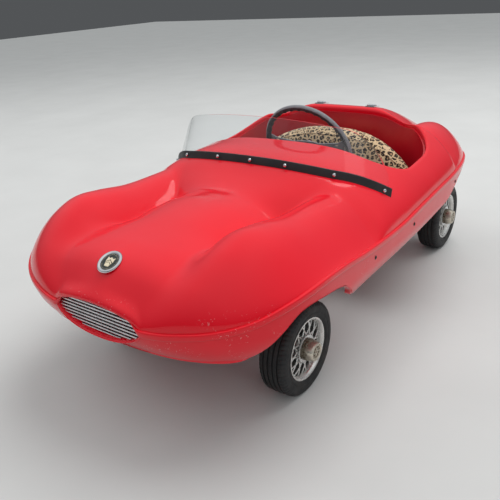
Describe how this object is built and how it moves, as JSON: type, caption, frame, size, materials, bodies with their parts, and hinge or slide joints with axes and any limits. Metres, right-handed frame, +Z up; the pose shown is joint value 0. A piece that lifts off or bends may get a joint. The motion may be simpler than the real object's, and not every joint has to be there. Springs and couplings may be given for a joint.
{
  "type": "pedal car",
  "caption": "Open two-seater style child's pedal car with a red moulded body, grille, windscreen, wire-spoke pattern wheels, working steering, pedal drive and boot lid.",
  "frame": {"origin": "on the ground plane below the middle of the car's bounding box", "axes": "+Z up, the car faces -Y, +X is the car's left side"},
  "size_m": [0.6816, 1.3311, 0.5037],
  "materials": {
    "body_red": "gloss red gel coat on glass fibre",
    "tub_red": "satin red gel coat on glass fibre",
    "leopard_cloth": "short pile cloth with rosette print",
    "chrome_trim": "polished",
    "black_screw": "black oxide",
    "grille_alloy": "satin",
    "black_enamel_steel": "semi-gloss enamel",
    "badge_enamel": "dark enamel with a cream emblem",
    "clear_acrylic": "clear polished",
    "black_strip": "satin",
    "grey_plastic": "moulded",
    "bare_steel": "zinc plated",
    "pedal_rubber": "ribbed",
    "tyre_rubber": "moulded tread",
    "wheel_alloy": "silver lacquer",
    "hub_alloy": "knurled",
    "cap_gold": "antiqued relief"
  },
  "bodies": {
    "car": {"upper_body": "body_red", "lower_body": "body_red", "cockpit_tub": "tub_red", "seat_base": "leopard_cloth", "seat_back": "leopard_cloth", "lid_hinge_fixed_leaves": "chrome_trim", "lid_hinge_pins": "chrome_trim", "nose_badge_bezel": "chrome_trim", "windscreen_screws": "chrome_trim", "body_screws": "black_screw", "grille_bars": "grille_alloy", "grille_struts": "black_enamel_steel", "dash_bracket": "black_enamel_steel", "column_lower_bracket": "black_enamel_steel", "front_axle_beam": "black_enamel_steel", "chassis_rail_left": "black_enamel_steel", "chassis_rail_right": "black_enamel_steel", "cross_member_front": "black_enamel_steel", "cross_member_middle": "black_enamel_steel", "cross_member_rear": "black_enamel_steel", "body_outriggers": "black_enamel_steel", "crank_hangers": "black_enamel_steel", "rear_axle_hangers": "black_enamel_steel", "nose_badge_face": "badge_enamel", "windscreen": "clear_acrylic", "windscreen_strip": "black_strip", "kingpins": "bare_steel", "drive_chain": "bare_steel"},
    "steering": {"steering_wheel_rim": "grey_plastic", "steering_wheel_spokes": "grey_plastic", "steering_wheel_cap": "chrome_trim", "steering_column": "black_enamel_steel"},
    "knuckle_left": {"stub_axle_left": "bare_steel"},
    "knuckle_right": {"stub_axle_right": "bare_steel"},
    "track_rod": {"track_rod": "bare_steel"},
    "wheel_front_left": {"tyre_front_left": "tyre_rubber", "rim_front_left": "wheel_alloy", "hub_front_left": "hub_alloy", "cap_front_left": "cap_gold"},
    "wheel_front_right": {"tyre_front_right": "tyre_rubber", "rim_front_right": "wheel_alloy", "hub_front_right": "hub_alloy", "cap_front_right": "cap_gold"},
    "wheel_rear_right": {"tyre_rear_right": "tyre_rubber", "rim_rear_right": "wheel_alloy", "hub_rear_right": "hub_alloy", "cap_rear_right": "cap_gold"},
    "rear_axle_set": {"rear_axle": "bare_steel", "rear_sprocket": "bare_steel", "tyre_rear_left": "tyre_rubber", "rim_rear_left": "wheel_alloy", "hub_rear_left": "hub_alloy", "cap_rear_left": "cap_gold"},
    "crank": {"pedal_crank": "bare_steel", "chainring": "bare_steel"},
    "pedal_left": {"pedal_left": "pedal_rubber"},
    "pedal_right": {"pedal_right": "pedal_rubber"},
    "boot": {"boot_lid": "body_red", "lid_hinge_moving_leaves": "chrome_trim"}
  },
  "joints": [
    {"name": "steering_turn", "type": "hinge", "parent": "car", "child": "steering", "pos_m": [0, 0.092, 0.378], "axis": [0, 0.9397, 0.342], "range_deg": [-22, 22]},
    {"name": "knuckle_left_turn", "type": "hinge", "parent": "car", "child": "knuckle_left", "pos_m": [0.178, -0.36, 0.1], "axis": [0, 0, 1], "range_deg": [-22, 22]},
    {"name": "knuckle_right_turn", "type": "hinge", "parent": "car", "child": "knuckle_right", "pos_m": [-0.178, -0.36, 0.1], "axis": [0, 0, 1], "range_deg": [-22, 22]},
    {"name": "track_rod_pin", "type": "hinge", "parent": "knuckle_left", "child": "track_rod", "pos_m": [0.178, -0.285, 0.09], "axis": [0, 0, 1], "range_deg": [-22, 22]},
    {"name": "wheel_front_left_spin", "type": "hinge", "parent": "knuckle_left", "child": "wheel_front_left", "pos_m": [0.231, -0.36, 0.1], "axis": [1, 0, 0], "continuous": true},
    {"name": "wheel_front_right_spin", "type": "hinge", "parent": "knuckle_right", "child": "wheel_front_right", "pos_m": [-0.231, -0.36, 0.1], "axis": [1, 0, 0], "continuous": true},
    {"name": "wheel_rear_right_spin", "type": "hinge", "parent": "rear_axle_set", "child": "wheel_rear_right", "pos_m": [-0.231, 0.474, 0.1], "axis": [1, 0, 0], "continuous": true},
    {"name": "rear_axle_spin", "type": "hinge", "parent": "car", "child": "rear_axle_set", "pos_m": [0, 0.474, 0.1], "axis": [1, 0, 0], "continuous": true},
    {"name": "crank_spin", "type": "hinge", "parent": "car", "child": "crank", "pos_m": [0, -0.19, 0.16], "axis": [1, 0, 0], "continuous": true},
    {"name": "pedal_left_spin", "type": "hinge", "parent": "crank", "child": "pedal_left", "pos_m": [0.036, -0.245, 0.16], "axis": [1, 0, 0], "continuous": true},
    {"name": "pedal_right_spin", "type": "hinge", "parent": "crank", "child": "pedal_right", "pos_m": [-0.04, -0.135, 0.16], "axis": [1, 0, 0], "continuous": true},
    {"name": "boot_lid_hinge", "type": "hinge", "parent": "car", "child": "boot", "pos_m": [0.079, 0.309, 0.45396], "axis": [1, 0, 0], "range_deg": [0, 75]}
  ],
  "couplings": [
    {"joint": "knuckle_left_turn", "follows": "steering_turn", "ratio": 1},
    {"joint": "knuckle_right_turn", "follows": "steering_turn", "ratio": 1},
    {"joint": "track_rod_pin", "follows": "steering_turn", "ratio": -1},
    {"joint": "crank_spin", "follows": "rear_axle_spin", "ratio": 0.75}
  ]
}
